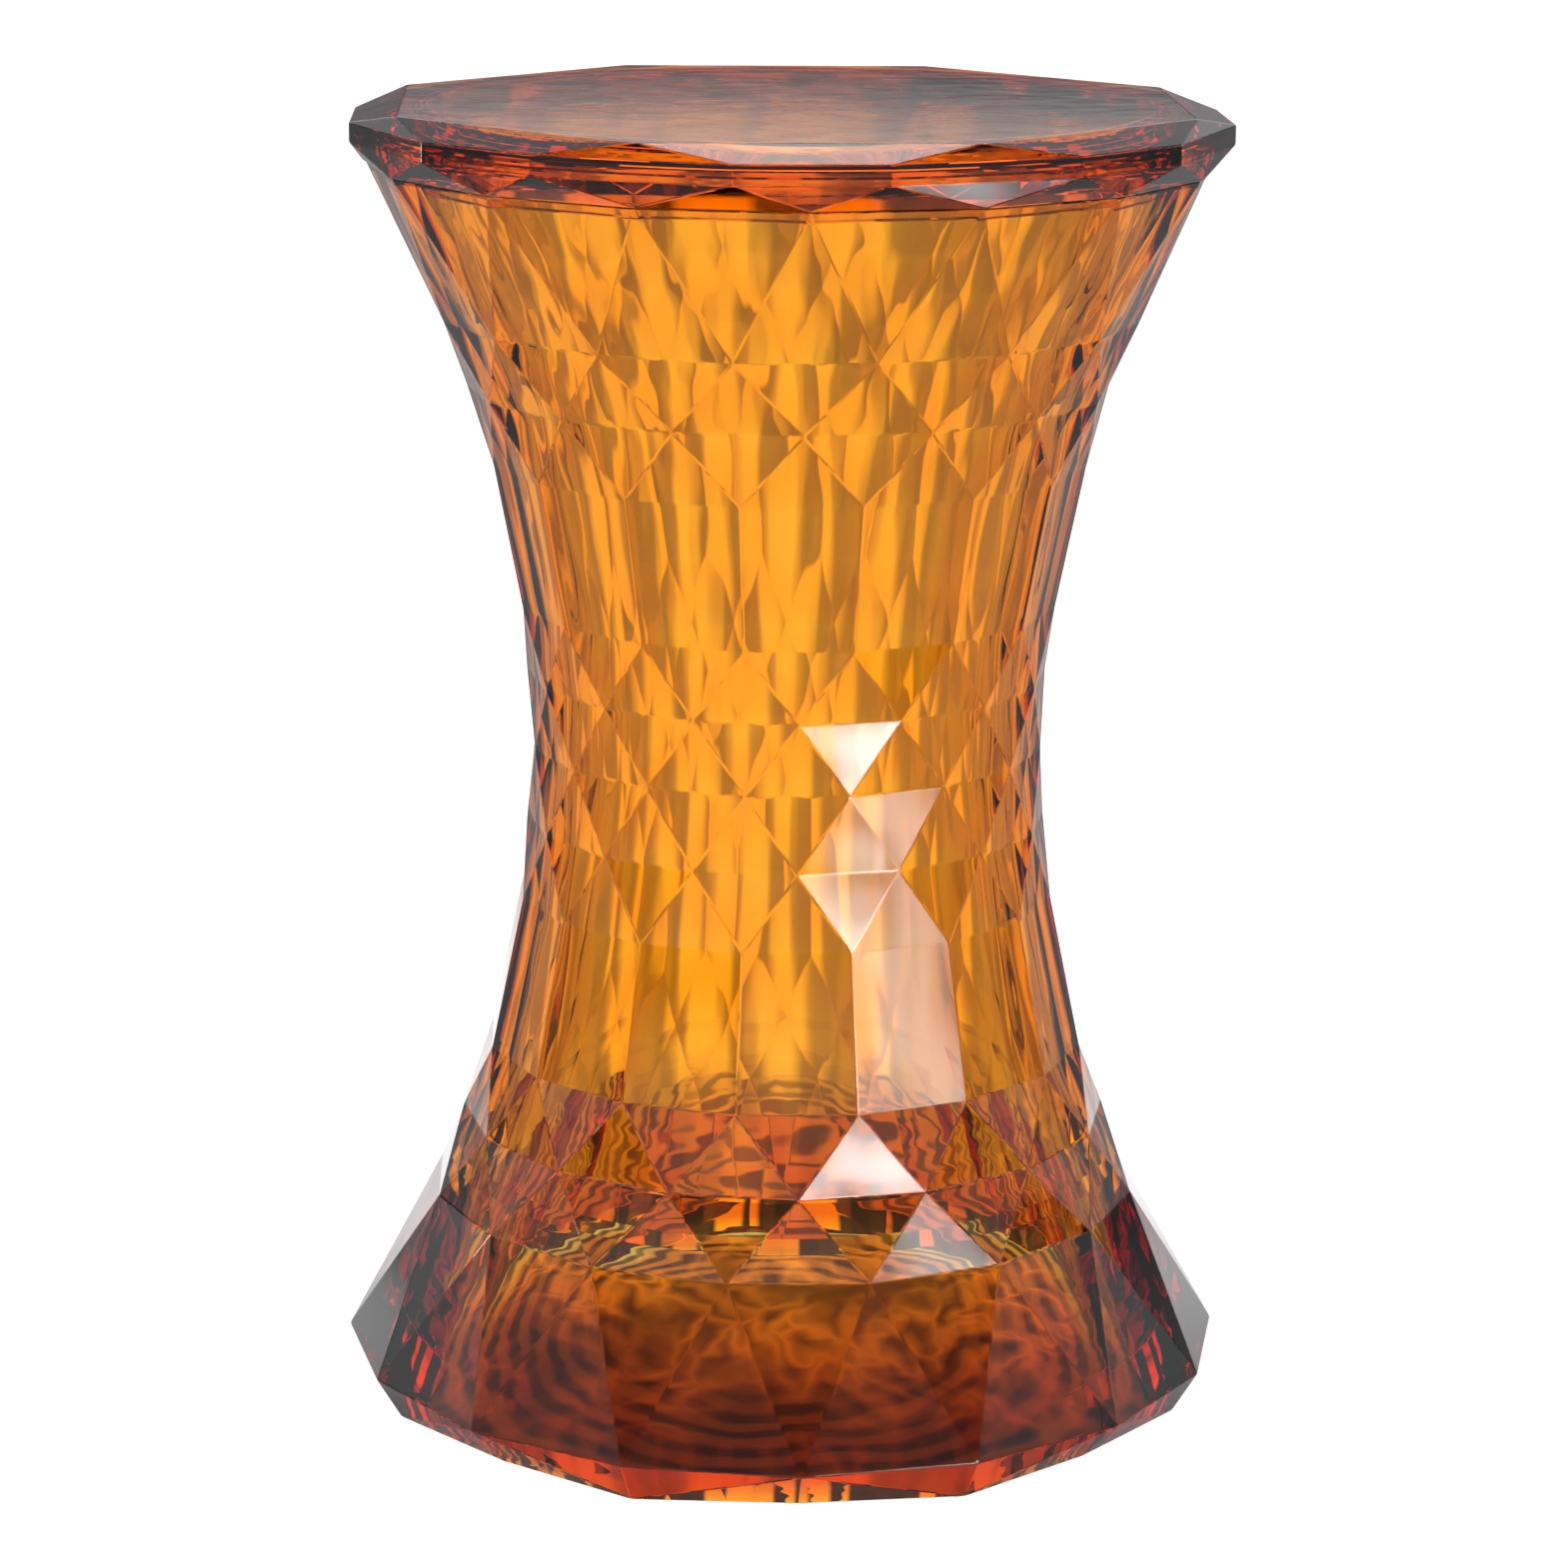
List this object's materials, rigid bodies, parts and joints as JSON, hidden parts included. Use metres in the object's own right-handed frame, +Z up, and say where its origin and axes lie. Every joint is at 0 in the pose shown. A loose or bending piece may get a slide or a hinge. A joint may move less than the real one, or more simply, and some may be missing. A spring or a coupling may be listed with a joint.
{
  "type": "garden stool",
  "caption": "Hourglass garden stool in see-through amber plastic, faceted outside and smooth and hollow inside, with a flat faceted seat and an open foot on clear glides.",
  "frame": {"origin": "on the floor, in the middle of the foot, under the stool's axis", "axes": "+Z up along the stool's axis; -Y towards the viewer, square to one straight side of the seat; +X to the viewer's right"},
  "size_m": [0.308, 0.308, 0.45],
  "materials": {
    "amber_body": "polished see-through amber plastic, coloured right through",
    "amber_seat": "polished see-through amber plastic, coloured right through, seen thicker at the rim",
    "clear_glide": "soft clear plastic, satin"
  },
  "bodies": {
    "root": {"body_shell": "amber_body", "seat_top": "amber_seat", "glide_1": "clear_glide", "glide_2": "clear_glide", "glide_3": "clear_glide", "glide_4": "clear_glide"}
  },
  "joints": []
}
